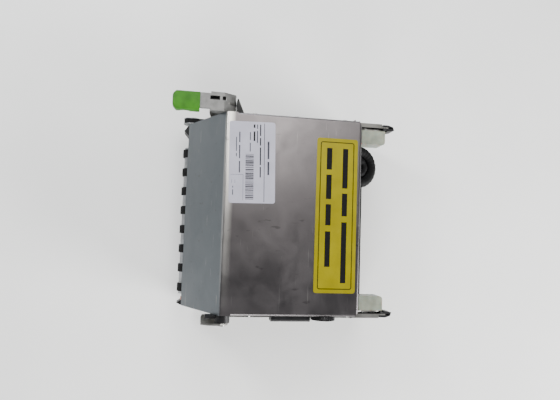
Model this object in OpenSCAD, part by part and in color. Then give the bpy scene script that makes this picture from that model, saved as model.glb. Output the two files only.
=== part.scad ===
// Banknote handling module of a cash machine: a transport whose top half swings up. Millimetres.
// X is right, Y is back, Z is up. The origin is the middle of the base pan's underside.

/* [Overall size] */
// Width over the top cover
cover_w = 226; // [200:1:280]
// Depth of the lower side plates
module_d = 237; // [230:1:290]
// Height to the top of the cover
module_h = 150; // [145:1:185]

/* [Sheet metal] */
// Thickness of the side plates and the base pan
plate_t = 1.5; // [1:0.1:2]
// Thickness of the top cover
cover_t = 1.5; // [1:0.1:2]
// Outer radius of the cover's bends
bend_r = 3; // [2.5:0.1:5]
// Gap on each side between the upper half and the lower side plates
side_gap = 1; // [0.6:0.1:2]
// Height of the pan's upturned sides
pan_side_h = 12; // [8:1:20]
// Radius of the four mounting holes
bolt_hole_r = 2.25; // [1.6:0.05:3.3]
// Distance between mounting holes, left to right
bolt_dx = 160; // [120:1:180]
// Distance between mounting holes, front to back
bolt_dy = 180; // [150:1:190]

/* [Cover shape] */
// Horizontal run of the sloping front flap
flap_run = 43; // [35:1:48]
// Drop of the sloping front flap
flap_drop = 83; // [60:1:85]
// Depth of the cover's side flanges
cover_side_h = 24; // [20:1:30]
// Depth of the cover's rear flange
cover_rear_h = 14; // [8:1:20]

/* [Note path] */
// Height of the middle of the note path
path_z = 55; // [50:0.5:60]
// Gap between the guide plates
path_gap = 5; // [3:0.5:8]
// Number of rubber tyres on each shaft
tyre_n = 8; // [4:1:10]
// Outer radius of a tyre
tyre_r = 10; // [8:0.5:11]
// Length of a tyre
tyre_len = 10.4; // [6:0.2:14]
// Outer radius of an idler roller
idler_r = 8; // [6.5:0.5:8.5]
// Radius of the drive shafts
shaft_r = 4; // [3.5:0.25:5]
// Radius of the shaft ends that turn in the bushes
journal_r = 3; // [2:0.25:3.25]
// Sideways offset of the rollers from the middle
roller_shift = 7; // [0:0.5:8]
// Gap between a tyre and its idler
nip_gap = 0.3; // [0.2:0.05:0.6]

/* [Drive] */
// Radius of the shaft pulleys
pulley_r = 9; // [7:0.5:10]
// Radius of the motor pulley
motor_pulley_r = 6; // [5:0.5:7]
// Width of the drive belts
belt_w = 5.4; // [4:0.2:6]
// Thickness of the drive belts
belt_t = 1.3; // [1:0.1:1.6]
// Radius of the motor
motor_r = 17; // [12:0.5:17]
// Length of the motor
motor_len = 42; // [30:1:60]

/* [Hinge and latch] */
// Radius of the rear hinge pins
hinge_pin_r = 4; // [3:0.25:5]
// Radius of the latch shaft
latch_r = 4; // [3:0.25:4.5]
// Radius of the strike pins
strike_r = 3; // [2:0.25:3]
// Thickness of the latch hooks
hook_t = 2; // [1.5:0.1:3]
// Radial play of every turning fit
fit = 0.05; // [0.02:0.01:0.1]

/* [Lever] */
// Width of the lever arm
arm_w = 21.2; // [18:0.2:24]
// Length of the lever grip
grip_len = 30; // [24:1:40]
// Width of the lever grip
grip_w = 21; // [18:0.5:24]
// Height of the lever grip
grip_h = 11; // [9:0.5:14]
// Radius of the hand wheel
jog_r = 14; // [10:0.5:14]

/* [Labels] */
// Length of the type label
type_w = 92; // [60:1:95]
// Depth of the type label
type_d = 52; // [30:1:55]
// Length of the yellow label
warn_w = 177; // [100:1:180]
// Depth of the yellow label
warn_d = 48.5; // [30:0.5:50]
// Thickness of both labels
label_t = 0.25; // [0.1:0.05:0.5]

/* [Show] */
// Sub-part to draw

/* [Hidden] */
$fn = 96;
hw = cover_w / 2;
yb = module_d / 2 + 8.5;
yf = yb - module_d;
zt = module_h;

// Side to side: cover, then the lower plates outside it and the upper plates inside it.
low_in = hw + side_gap;
low_out = low_in + plate_t;
up_out = hw - cover_t;
up_in = up_out - plate_t;

// Hinge, latch and strike pin
hinge_y = yb - 19;
hinge_z = zt - 44;
latch_y = yf + 34;
latch_z = zt - 14;
strike_y = yf + 26;
strike_z = zt - 66;
flange_z = zt - 32;
arm_end_r = 12;
hook_x = hw + 9.4;
tip_z = latch_z - sqrt(pow(latch_z - strike_z, 2) + pow(latch_y - strike_y, 2)) - strike_r - 0.45;

// Cover outline
bend_y = yf + 30;
fold_y = yb - 49.6;
flap_y = bend_y - flap_run;
flap_z = zt - flap_drop;
flap_a = atan2(flap_drop, flap_run);
cover_y0 = yf + 42;
cover_y1 = fold_y - 3.4;

// Note path: five stations of driven tyres below and idlers above
low_z = path_z - path_gap / 2;
up_z = path_z + path_gap / 2;
guide_t = 2.5;
guide_end = yb - 18;
shaft_z = path_z - tyre_r;
station_0 = yf - 9.5;
station_4 = yb - 37;
pitch = (station_4 - station_0) / 4;
stations = [for (i = [0:4]) station_0 + i * pitch];
nip_d = tyre_r + idler_r + nip_gap;
idler_back = 7.5;
idler_y = [for (i = [0:4]) i == 0 ? stations[0] + idler_back : stations[i]];
idler_z = [for (i = [0:4]) shaft_z + (i == 0 ? sqrt(nip_d * nip_d - idler_back * idler_back) : nip_d)];
tyre_pitch = (cover_w - 55) / (tyre_n - 1);
tyre_xs = [for (i = [0:tyre_n - 1]) roller_shift + (i - (tyre_n - 1) / 2) * tyre_pitch];
path_x0 = tyre_xs[0] - tyre_len / 2 - 3;
path_x1 = tyre_xs[tyre_n - 1] + tyre_len / 2 + 4;
barrel_r = tyre_r - 2;
journal_bore = journal_r + fit;

// Cross bars sit midway between stations.
bar = 10;
bar_z = low_z - guide_t - bar / 2;
bar_ys = [stations[0] + pitch / 2, stations[2] + pitch / 2, stations[3] + pitch / 2];
sensor_y = stations[1] + pitch / 2;
sensor_d = 24;
glass_d = 20;
top_bars = [[sensor_y - 9, zt - 38], [stations[3] + 20.4, zt - 38], [yf + 12, zt - 72], [yb - 49, zt - 72]];
guide_screws = [path_x0 + 30, roller_shift, path_x1 - 30];

// Drive
belt_gap = 0.3;
plane_in = low_out + 2;
rim_t = 0.7;
pulley_w = belt_w + 2 * rim_t + 0.6;
bush_r = 5;
rim_r = pulley_r + 2;
right_pulley_r = pulley_r + 1;
motor_y = bar_ys[1] + 2.6;
motor_z = pan_t() + motor_r + 1;
motor_shaft_r = 2.5;

// Hand wheel and its belt
jog_y = stations[3] + 2.4;
jog_z = zt - 2.5 - jog_r;
jog_x = hw + 0.6;
jog_pulley_r = 5;
jog_x0 = up_in - 8;

screw_r = 2;
pan_x = low_in;
pan_y0 = yf + 2;
pan_y1 = yb - 9;
board_z = 8;
board_t = 1.6;

function pan_t() = plate_t;

steel = [0.72, 0.72, 0.71];
plate_metal = [0.56, 0.56, 0.55];
black = [0.09, 0.09, 0.10];
pale = [0.80, 0.80, 0.78];
board_green = [0.10, 0.33, 0.22];

// ---- Shared shapes ----

// Box between two corners
module box(x0, x1, y0, y1, z0, z1) {
    translate([x0, y0, z0]) cube([x1 - x0, y1 - y0, z1 - z0]);
}

// Round bar along X
module rod(x0, x1, y, z, r) {
    translate([x0, y, z]) rotate([0, 90, 0]) cylinder(r = r, h = x1 - x0);
}

// The same round bar on the right and mirrored on the left
module rods(x0, x1, y, z, r) {
    rod(x0, x1, y, z, r);
    rod(-x1, -x0, y, z, r);
}

// Outline drawn as (Y, Z), given a thickness along X
module yz_plate(x0, t) {
    translate([x0, 0, 0]) rotate([90, 0, 90]) linear_extrude(t) children();
}

// Round bar between two points
module limb(a, b, r) {
    d = b - a;
    translate(a) rotate([0, acos(d.z / norm(d)), atan2(d.y, d.x)]) cylinder(r = r, h = norm(d));
}

// Tyre about X, centred at x, with small chamfers
module tyre(x, y, z, r, bore, len) {
    c = 0.6;
    translate([x - len / 2, y, z]) rotate([0, 90, 0]) rotate_extrude()
        polygon([[bore, 0], [r - c, 0], [r, c], [r, len - c], [r - c, len], [bore, len]]);
}

// Solid inside a loop round two pulleys, the second one d along from the first. The straight runs
// lie a hair inside the round ends, so that they cross them.
module loop_block(x0, x1, rp, d, rq) {
    b = acos((rp - rq) / d);
    a = rp - 0.02;
    c = rq - 0.02;
    rod(x0, x1, 0, 0, rp);
    rod(x0, x1, d, 0, rq);
    yz_plate(x0, x1 - x0) polygon([a * [cos(b), sin(b)], [d, 0] + c * [cos(b), sin(b)],
        [d, 0] + c * [cos(b), -sin(b)], a * [cos(b), -sin(b)]]);
}

// Belt round two pulleys at p and q, just clear of each
module belt(x0, w, p, rp, q, rq, t) {
    d = q - p;
    translate([x0, p.x, p.y]) rotate([atan2(d.y, d.x), 0, 0]) difference() {
        loop_block(0, w, rp + belt_gap + t, norm(d), rq + belt_gap + t);
        loop_block(-1, w + 1, rp + belt_gap, norm(d), rq + belt_gap);
    }
}

// Pulley between x0 and x1 with two rims
module pulley(x0, x1, y, z, r, rim, bore) {
    difference() {
        union() {
            rod(x0, x1, y, z, r);
            rod(x0, x0 + rim_t, y, z, rim);
            rod(x1 - rim_t, x1, y, z, rim);
        }
        rod(x0 - 1, x1 + 1, y, z, bore);
    }
}

// Flat plate with a head and a shank: a screw along X, head outward from x
module side_screw(s, x, y, z, r, len, head_r, head_t) {
    mirror([s < 0 ? 1 : 0, 0, 0]) {
        rod(x - len, x + 0.1, y, z, r);
        difference() {
            rod(x, x + head_t, y, z, head_r);
            translate([x + head_t - 0.8, y, z]) rotate([0, 90, 0]) cylinder(r = head_r * 0.5, h = 2, $fn = 6);
        }
    }
}

// ---- Lower frame ----

module base_pan() color(steel) difference() {
    union() {
        box(-pan_x, pan_x, pan_y0, pan_y1, 0, plate_t);
        for (s = [-1, 1])
            box(s > 0 ? pan_x - plate_t : -pan_x, s > 0 ? pan_x : plate_t - pan_x,
                pan_y0, pan_y1, 0, pan_side_h);
        box(-pan_x, pan_x, pan_y0, pan_y0 + plate_t, 0, pan_side_h - 2);
        box(-pan_x, pan_x, pan_y1 - plate_t, pan_y1, 0, pan_side_h - 2);
        for (p = board_corners) translate([p.x, p.y, 0]) cylinder(r = 3.5, h = board_z);
    }
    for (x = [-1, 1], y = [-1, 1])
        translate([x * bolt_dx / 2, y * bolt_dy / 2, -1]) cylinder(r = bolt_hole_r, h = 4);
    for (i = [0:9]) box(-63 + i * 14, -59 + i * 14, stations[0] + 30, stations[1] + 6, -1, 3);
    for (p = board_corners) translate([p.x, p.y, board_z - 5]) cylinder(r = 1.25, h = 6);
    box(pan_x - 5, pan_x + 1, motor_y - motor_r - 3, motor_y + motor_r + 3, plate_t, pan_side_h + 1);
    for (s = [-1, 1]) for (y = pan_screw_ys) rods(pan_x - 3, pan_x + 1, y, 7, 1.3);
}
board_x = [-72, 48];
board_y = [stations[2] - 14, stations[4] - 32];
board_corners = [for (x = [board_x[0] + 5, board_x[1] - 5], y = [board_y[0] + 5, board_y[1] - 5]) [x, y]];
pan_screw_ys = [yf + 20, stations[1] + 30, yb - 30];

module lower_outline() polygon([[yf, 0], [yb, 0], [yb, flange_z - 6], [yb - 5, flange_z],
    [yf + 32, flange_z], [yf + 2.3, path_z + 4.8], [yf, path_z - 5]]);

module lower_side_plate(s) color(plate_metal) mirror([s < 0 ? 1 : 0, 0, 0]) difference() {
    union() {
        yz_plate(low_in, plate_t) lower_outline();
        box(low_in, low_out + 3.5, yf + 40, yb - 13, flange_z - plate_t, flange_z);
    }
    for (i = [1:4]) rod(low_in - 1, low_out + 1, stations[i], shaft_z, bush_r + 0.02);
    rod(low_in - 1, low_out + 1, hinge_y, hinge_z, hinge_pin_r + 0.02);
    rod(low_in - 1, low_out + 1, strike_y, strike_z, strike_r + 0.02);
    for (y = bar_ys) rod(low_in - 1, low_out + 1, y, bar_z, screw_r + 0.02);
    for (z = [shaft_z - 7, shaft_z + 6]) rod(low_in - 1, low_out + 1, yf + 6, z, 1.52);
    for (y = pan_screw_ys) rod(low_in - 1, low_out + 1, y, 7, 1.52);
    for (y = [stations[1], stations[2], stations[3]]) rod(low_in - 1, low_out + 1, y + 8, zt - 62, 11);
    rod(low_in - 1, low_out + 1, hinge_y - 6, path_z + 22, 6);
    if (s > 0) {
        rod(low_in - 1, low_out + 1, motor_y, motor_z, 8.05);
        for (a = [45, 225]) rod(low_in - 1, low_out + 1, motor_y + 13 * cos(a), motor_z + 13 * sin(a), 1.52);
    }
    if (s < 0) rod(low_in - 1, low_out + 1, shoe_y, shoe_z, 1.52);
}
module lower_side_plate_left() lower_side_plate(-1);
module lower_side_plate_right() lower_side_plate(1);

guide_back = bar_ys[0] - bar / 2;
module entry_guide(plan) color(black) difference() {
    translate([0, 0, shaft_z - 12]) linear_extrude(path_z + 1 - shaft_z + 12) polygon(plan);
    rods(up_in - 30, low_in + 1, stations[0], shaft_z, bush_r + 0.02);
    for (z = [shaft_z - 7, shaft_z + 6]) rods(low_in - 8, low_in + 1, yf + 6, z, 1.27);
}
module entry_guide_left() entry_guide([[-low_in, guide_back], [path_x0 - 3.5, guide_back],
    [path_x0 - 3.5, yf - 4],
    [path_x0 - 12, yf - 12], [6 - hw, yf - 19], [-low_in, yf - 14]]);
module entry_guide_right() entry_guide([[low_in, guide_back], [hw - 9.5, guide_back], [hw - 9.5, yf - 6],
    [hw - 1.5, yf - 19], [low_in, yf - 14]]);

module lower_cross_bars() color(steel) for (y = bar_ys) difference() {
    box(-low_in, low_in, y - bar / 2, y + bar / 2, bar_z - bar / 2, bar_z + bar / 2);
    rods(low_in - 14, low_in + 1, y, bar_z, screw_r + 0.02);
    for (x = guide_screws) translate([x, y, bar_z - bar]) cylinder(r = 1.52, h = 2 * bar);
}

// Guide plate: windows for the rollers of one height and a slot for the sensor glass
module guide_windows(z0, z1, half, first) {
    for (i = [first:4], x = tyre_xs)
        box(x - tyre_len / 2 - 1.3, x + tyre_len / 2 + 1.3, stations[i] - half, stations[i] + half, z0, z1);
    box(tyre_xs[0] + 4, tyre_xs[tyre_n - 1] - 4, sensor_y - glass_d / 2, sensor_y + glass_d / 2, z0, z1);
}
module lower_guide_plate() color(black) difference() {
    union() {
        box(path_x0, path_x1, yf + 2, guide_end, low_z - guide_t, low_z);
        box(path_x0, path_x1, yf + 2, yf + 4, low_z - 7, low_z);
        box(path_x0, path_x1, guide_end - 2, guide_end, low_z - 7, low_z);
    }
    guide_windows(low_z - 8, low_z + 1, tyre_r + 1, 1);
    for (x = guide_screws, y = bar_ys) translate([x, y, low_z - 10]) cylinder(r = 1.52, h = 9.4);
}

module sensor_glass(z0, z1) color([0.12, 0.16, 0.20])
    box(tyre_xs[0] + 4.05, tyre_xs[tyre_n - 1] - 4.05, sensor_y - glass_d / 2 + 0.05,
        sensor_y + glass_d / 2 - 0.05, z0, z1);
module lower_sensor_glass() sensor_glass(low_z - guide_t, low_z);
module lower_sensor_module() color(black) union() {
    box(path_x0 + 2, path_x1 - 2, sensor_y - sensor_d / 2, sensor_y + sensor_d / 2,
        low_z - guide_t - 24, low_z - guide_t);
    for (x = [-50, 0, 50])
        box(x, x + 16, sensor_y - 8, sensor_y + 8, low_z - guide_t - 30, low_z - guide_t - 24);
}

module drive_motor() color([0.20, 0.20, 0.21]) difference() {
    union() {
        rod(low_in - 4 - motor_len, low_in - 4, motor_y, motor_z, motor_r);
        rod(low_in - 4, low_in, motor_y, motor_z, motor_r);
        rod(low_in - 1, low_out, motor_y, motor_z, 8);
        box(low_in - 10 - motor_len, low_in - 3 - motor_len,
            motor_y - 6, motor_y + 6, motor_z - 5, motor_z + 5);
    }
    rod(low_in - 10, low_out + 1, motor_y, motor_z, motor_shaft_r + fit);
    for (a = [45, 225]) rod(low_in - 3.5, low_in + 1, motor_y + 13 * cos(a), motor_z + 13 * sin(a), 1.52);
}

module drive_board() color(board_green) {
    difference() {
        box(board_x[0], board_x[1], board_y[0], board_y[1], board_z, board_z + board_t);
        for (p = board_corners) translate([p.x, p.y, board_z - 1]) cylinder(r = 1.52, h = 4);
    }
    z = board_z + board_t;
    box(-50, -36, board_y[0] + 14, board_y[0] + 28, z, z + 2);
    box(-20, -8, board_y[0] + 16, board_y[0] + 28, z, z + 2);
    box(-60, -20, board_y[1] - 10, board_y[1] - 3, z, z + 9);
    box(0, 30, board_y[1] - 10, board_y[1] - 3, z, z + 9);
    for (x = [6, 20, 34]) translate([x, board_y[0] + 22, z]) cylinder(r = 5, h = 12);
}

module shaft_bushes() color([0.62, 0.38, 0.22]) difference() {
    union() {
        for (i = [1:4]) {
            rods(low_in - 1, low_out + 0.8, stations[i], shaft_z, bush_r);
            rods(low_in - 1.2, low_in, stations[i], shaft_z, bush_r + 2);
        }
        rods(low_in - 9, low_in, stations[0], shaft_z, bush_r);
    }
    for (y = stations) rods(low_in - 12, low_out + 2, y, shaft_z, journal_bore);
}

module strike_pins() color(steel) {
    rods(low_in, hook_x + hook_t + 2.6, strike_y, strike_z, strike_r);
    rods(low_out, low_out + 2, strike_y, strike_z, strike_r + 2.5);
}
module hinge_pins() color(steel) {
    rods(up_in - 15, low_out + 1, hinge_y, hinge_z, hinge_pin_r);
    rods(low_out, low_out + 3, hinge_y, hinge_z, hinge_pin_r + 3);
}

module rear_guide_horns() color(black) for (s = [0, 1]) mirror([s, 0, 0]) difference() {
    translate([0, 0, flange_z - 20]) linear_extrude(20) polygon([[low_in - 1.8, hinge_y + hinge_pin_r + 3.4],
        [low_out + 2.8, hinge_y + hinge_pin_r + 3.4], [low_out + 2.8, yb - 5], [low_out + 0.7, yb + 1.4],
        [hw - 1, yb + 2.8], [up_in + 0.5, yb - 6], [low_in - 1.8, yb - 6.5]]);
    box(low_in, low_out, 0, yb + 0.02, 0, zt);
}

module drive_belts() color([0.06, 0.06, 0.06]) {
    belt(-plane_in - pulley_w + (pulley_w - belt_w) / 2, belt_w, [stations[0], shaft_z], pulley_r,
        [stations[4], shaft_z], pulley_r, belt_t);
    belt(plane_in + (pulley_w - belt_w) / 2, belt_w, [stations[2], shaft_z], right_pulley_r,
        [motor_y, motor_z], motor_pulley_r, belt_t);
}

shoe_y = bar_ys[1] + 6;
shoe_z = shaft_z - pulley_r - belt_t - 8.5;
module belt_shoe() color(black) difference() {
    union() {
        box(-low_out - 9, -low_out, shoe_y - 12, shoe_y + 12, shoe_z + 3, shoe_z + 8);
        box(-low_out - 4, -low_out, shoe_y - 6, shoe_y + 6, shoe_z - 6, shoe_z + 4);
    }
    rod(-low_out - 5, -low_out + 1, shoe_y, shoe_z, 1.52);
}

module chassis_screws() color(steel) {
    for (s = [-1, 1]) {
        for (y = bar_ys) side_screw(s, low_out, y, bar_z, screw_r, plate_t + 12, 3.5, 1.8);
        for (z = [shaft_z - 7, shaft_z + 6]) side_screw(s, low_out, yf + 6, z, 1.25, plate_t + 7, 2.6, 1.6);
        for (y = pan_screw_ys) side_screw(s, low_out, y, 7, 1.25, plate_t + 1.5, 2.8, 1.6);
    }
    for (a = [45, 225])
        side_screw(1, low_out, motor_y + 13 * cos(a), motor_z + 13 * sin(a), 1.5, plate_t + 3, 2.6, 1.4);
    side_screw(-1, low_out + 4, shoe_y, shoe_z, 1.5, plate_t + 6, 2.6, 1.6);
    for (p = board_corners) translate([p.x, p.y, board_z + board_t]) {
        cylinder(r = 2.6, h = 1.8);
        translate([0, 0, -5]) cylinder(r = 1.2, h = 5.1);
    }
    for (x = guide_screws, y = bar_ys) translate([x, y, bar_z - bar / 2]) {
        translate([0, 0, -1.8]) cylinder(r = 3, h = 1.8);
        translate([0, 0, -0.1]) cylinder(r = 1.5, h = bar + 1.8);
    }
}

// ---- Driven shafts ----

module drive_shaft(i) {
    y = stations[i];
    color([0.66, 0.67, 0.68]) if (i == 0) {
        rod(path_x0 + 1, path_x1 - 1, y, shaft_z, barrel_r);
        rods(0, low_out, y, shaft_z, journal_r);
    } else {
        rods(0, low_in - 4, y, shaft_z, shaft_r);
        rods(0, low_out + 1, y, shaft_z, journal_r);
    }
    color([0.66, 0.67, 0.68]) rod(-plane_in - pulley_w - 1, 0, y, shaft_z, journal_r);
    if (i == 2) color([0.66, 0.67, 0.68]) rod(0, plane_in + pulley_w + 1, y, shaft_z, journal_r);
    color(pale) pulley(-plane_in - pulley_w, -plane_in, y, shaft_z, pulley_r, rim_r, journal_r + 0.02);
    if (i == 2)
        color(pale)
            pulley(plane_in, plane_in + pulley_w, y, shaft_z, right_pulley_r, rim_r + 1, journal_r + 0.02);
}
module drive_tyres(i) color(black)
    for (x = tyre_xs) tyre(x, stations[i], shaft_z, tyre_r, (i == 0 ? barrel_r : shaft_r) + 0.02, tyre_len);
module motor_pulley() color(steel) {
    rod(low_in - 9.5, plane_in + pulley_w + 1, motor_y, motor_z, motor_shaft_r);
    pulley(plane_in, plane_in + pulley_w, motor_y, motor_z, motor_pulley_r, motor_pulley_r + 1.8,
        motor_shaft_r + 0.02);
}

// ---- Upper half ----

front_c = [bend_y + bend_r * tan(flap_a / 2), zt - bend_r];
rear_c = [fold_y - bend_r, zt - bend_r];

// Area under the bent sheet as (Y, Z): the outer face has r = bend_r and past = 0
module under_cover(r, past) {
    n = [cos(90 + flap_a), sin(90 + flap_a)];
    down = [-cos(flap_a), -sin(flap_a)];
    edge = [flap_y, flap_z] + (r - bend_r) * n + past * down;
    foot = [rear_c.x + r, zt - cover_rear_h - past];
    translate(front_c) circle(r);
    translate(rear_c) circle(r);
    polygon([edge, front_c + r * n, front_c + [0, r], rear_c + [0, r], rear_c + [r, 0], foot,
        foot - [4, 0], [rear_c.x - 20, zt - 40], [bend_y, zt - 40], edge - 4 * n]);
}
module cover_outline() difference() {
    under_cover(bend_r, 0);
    under_cover(bend_r - cover_t, 3);
    polygon([[flap_y + 9, flap_z + 3], [bend_y + 1, zt - 12], [rear_c.x - 1, zt - 12], [rear_c.x - 1, 0],
        [flap_y + 9, 0]]);
}

// Area inside one side flange as (X, Z)
module under_side(r, past) {
    translate([hw - bend_r, zt - bend_r]) circle(r);
    polygon([[hw - bend_r - 4, zt - bend_r + r], [hw - bend_r, zt - bend_r + r],
        [hw - bend_r + r, zt - bend_r],
        [hw - bend_r + r, zt - cover_side_h - past], [hw - bend_r - 4, zt - cover_side_h - past]]);
}
module cover_side() intersection() {
    difference() {
        under_side(bend_r, 0);
        under_side(bend_r - cover_t, 1);
    }
    translate([hw - bend_r - 0.5, 0]) square([9, zt + 1]);
}
module top_cover() color([0.58, 0.57, 0.56]) difference() {
    union() {
        difference() {
            yz_plate(-hw, cover_w) cover_outline();
            for (s = [0, 1]) mirror([s, 0, 0]) {
                box(hw - bend_r, hw + 1, cover_y0, cover_y1, zt - 20, zt + 1);
                translate([0, 0, zt - 30]) linear_extrude(31)
                    polygon([[hw - 8, fold_y + 1], [hw + 1, fold_y + 1], [hw + 1, cover_y1], [hw, cover_y1]]);
            }
        }
        for (s = [0, 1]) mirror([s, 0, 0]) {
            translate([0, cover_y1, 0]) rotate([90, 0, 0]) linear_extrude(cover_y1 - cover_y0) cover_side();
            translate([0, 0, zt - 9]) linear_extrude(cover_t)
                polygon([[hw - 1, cover_y1 - 8], [hw + 3, cover_y1 - 3], [hw - 1, cover_y1]]);
        }
    }
    for (y = cover_screws_left) rod(-hw - 1, -hw + 4, y, zt - 12, screw_r + 0.02);
    for (y = cover_screws_right) rod(hw - 4, hw + 1, y, zt - 12, screw_r + 0.02);
    rod(hw - 4, hw + 1, jog_y, jog_z, 4);
}
cover_screws_left = [bend_y + 32, 1.3, fold_y - 18];
cover_screws_right = [bend_y + 32, fold_y - 12];

module upper_outline() {
    n = [cos(90 + flap_a), sin(90 + flap_a)];
    lip = [flap_y, flap_z] - (cover_t + 0.5) * n;
    crest = zt - bend_r;
    polygon([[lip.x, up_z], lip, [lip.x + (crest - lip.y) / tan(flap_a), crest],
        [fold_y - cover_t - 0.4, crest], [fold_y - cover_t - 0.4, crest - 20],
        [hinge_y - 16, hinge_z + arm_end_r - 1], [hinge_y + 2, hinge_z + arm_end_r - 1],
        [hinge_y + 2, hinge_z - arm_end_r + 1], [hinge_y - 8, up_z]]);
}
block_screws = [[hinge_y - 14, hinge_z - 6], [hinge_y - 14, hinge_z + 6]];
module upper_side_plate(s) color(plate_metal) mirror([s < 0 ? 1 : 0, 0, 0]) difference() {
    union() {
        yz_plate(up_in, plate_t) upper_outline();
        rod(up_in, up_out, hinge_y, hinge_z, arm_end_r);
    }
    for (i = [0:4]) rod(up_in - 1, up_out + 1, idler_y[i], idler_z[i], journal_bore);
    rod(up_in - 1, up_out + 1, hinge_y, hinge_z, hinge_pin_r + 0.4);
    rod(up_in - 1, up_out + 1, latch_y, latch_z, latch_r + 2.02);
    for (p = top_bars) rod(up_in - 1, up_out + 1, p.x, p.y, screw_r + 0.02);
    for (p = block_screws) rod(up_in - 1, up_out + 1, p.x, p.y, 1.52);
    for (y = s < 0 ? cover_screws_left : cover_screws_right)
        rod(up_in - 1, up_out + 1, y, zt - 12, screw_r + 0.02);
    for (y = [stations[1] + 10, stations[2] + 8, stations[3] - 12])
        rod(up_in - 1, up_out + 1, y, zt - 62, 11);
    if (s > 0) rod(up_in - 1, up_out + 1, jog_y, jog_z, journal_bore);
}
module upper_side_plate_left() upper_side_plate(-1);
module upper_side_plate_right() upper_side_plate(1);

module upper_tie_bars() color(steel) for (p = top_bars) difference() {
    box(-up_in, up_in, p.x - bar / 2, p.x + bar / 2, p.y - bar / 2, p.y + bar / 2);
    rods(up_in - 12, up_in + 1, p.x, p.y, screw_r + 0.02);
}

head_x = [roller_shift - tyre_pitch / 2 - 4, roller_shift + tyre_pitch / 2 + 4];
head_y = [bar_ys[1] - 6.5, bar_ys[1] + 6.5];
module upper_guide_plate() color(black) difference() {
    union() {
        box(-up_in, up_in, yf + 8, guide_end, up_z, up_z + 2);
        for (s = [0, 1]) mirror([s, 0, 0]) box(up_in - 2, up_in, yf + 12, yb - 24, up_z, up_z + 13);
    }
    guide_windows(up_z - 1, up_z + 3, idler_r, 1);
    for (i = [1:4]) rods(up_in - 4, up_in + 1, idler_y[i], idler_z[i], journal_r + 0.4);
    box(head_x[0] - 0.05, head_x[1] + 0.05, head_y[0] - 0.05, head_y[1] + 0.05, up_z - 1, up_z + 3);
    box(jog_x0 - 2, up_in - 2, jog_y - 10, jog_y + 8, up_z - 1, up_z + 3);
}
module upper_sensor_glass() sensor_glass(up_z, up_z + 2);
module upper_sensor_module() color([0.16, 0.16, 0.17]) union() {
    box(path_x0 + 2, path_x1 - 2, sensor_y - sensor_d / 2, sensor_y + sensor_d / 2, up_z + 2, up_z + 30);
    for (x = [-70, -10, 50]) box(x, x + 24, sensor_y - 8, sensor_y + 8, up_z + 30, up_z + 36);
}
module magnetic_head() color([0.45, 0.46, 0.48]) union() {
    box(head_x[0], head_x[1], head_y[0], head_y[1], up_z + 0.3, up_z + 16);
    box(head_x[0] - 3, head_x[1] + 3, head_y[0] - 3, head_y[1] + 3, up_z + 2, up_z + 4);
}

ctrl_x = [-92, 70];
ctrl_y = [top_bars[0].x - 5, top_bars[1].x + 5];
ctrl_z = zt - 33 + 4;
module control_board() {
    z = ctrl_z + board_t;
    color(board_green) box(ctrl_x[0], ctrl_x[1], ctrl_y[0], ctrl_y[1], ctrl_z, z);
    color(steel) for (x = [ctrl_x[0] + 5, ctrl_x[1] - 5], y = [ctrl_y[0] + 5, ctrl_y[1] - 5])
        translate([x, y, zt - 33]) cylinder(r = 3, h = 4, $fn = 6);
    color(black) {
        box(-40, -16, -20, 4, z, z + 2.4);
        box(10, 26, -24, -8, z, z + 2);
        box(10, 30, 10, 24, z, z + 1.8);
        for (x = [-84, -50, 20]) box(x, x + 26, ctrl_y[1] - 9, ctrl_y[1] - 1, z, z + 9);
    }
    color(steel) for (x = [44, 56], y = [-24, -8]) translate([x, y, z]) cylinder(r = 4.5, h = 11);
}

module hinge_blocks() color([0.85, 0.87, 0.82]) for (s = [0, 1]) mirror([s, 0, 0]) difference() {
    union() {
        box(hw - 20.3, up_in, hinge_y - 20, hinge_y + 6, hinge_z - 10, hinge_z + 12);
        box(hw - 16.3, up_in, hinge_y + 5, hinge_y + 10, hinge_z - 10, hinge_z + 12);
        translate([hw - 16.3, hinge_y + 6, hinge_z - 10]) cylinder(r = 4, h = 22);
    }
    rod(up_in - 15.5, up_in + 1, hinge_y, hinge_z, hinge_pin_r + fit);
    for (p = block_screws) rod(up_in - 9, up_in + 1, p.x, p.y, 1.52);
}

// Label outline with rounded corners
module label(w, d, r) {
    translate([-w / 2 + r, -d / 2]) square([w - 2 * r, d]);
    translate([-w / 2, -d / 2 + r]) square([w, d - 2 * r]);
    for (x = [-1, 1], y = [-1, 1]) translate([x * (w / 2 - r), y * (d / 2 - r)]) circle(r);
}
module type_label() color([0.72, 0.71, 0.75])
    translate([56 - hw, bend_y + 29.8, zt]) rotate(1.5) linear_extrude(label_t) label(type_w, type_d, 1.5);
module warning_label() color([0.78, 0.74, 0.22])
    translate([-1.8, fold_y - 29.3, zt]) linear_extrude(label_t) label(warn_w, warn_d, 3);

module upper_screws() color(steel) {
    for (y = cover_screws_left) side_screw(-1, hw, y, zt - 12, screw_r, 8, 3.5, 2);
    for (y = cover_screws_right) side_screw(1, hw, y, zt - 12, screw_r, 8, 3.5, 2);
    for (s = [-1, 1]) {
        for (p = top_bars) side_screw(s, up_out, p.x, p.y, screw_r, plate_t + 10, 3.6, 1.3);
        for (p = block_screws) side_screw(s, up_out, p.x, p.y, 1.5, plate_t + 8, 2.8, 1.2);
    }
}

module lever_stop_bracket() color(black) translate([0, 0, zt - 22]) linear_extrude(18)
    polygon([[-hw, latch_y + 7], [-hw - 16, latch_y + 7], [-hw - 16, latch_y + 8.2], [-hw, latch_y + 15]]);

module side_strip_cover() color(black) translate([0, 24, 0]) rotate([90, 0, 0]) linear_extrude(45)
    polygon([[hw, zt - 29], [hw + 5.5, zt - 29], [hw + 7.7, zt - 26.8], [hw + 7.7, zt - 13.2],
        [hw + 5.5, zt - 11], [hw, zt - 11]]);

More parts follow.
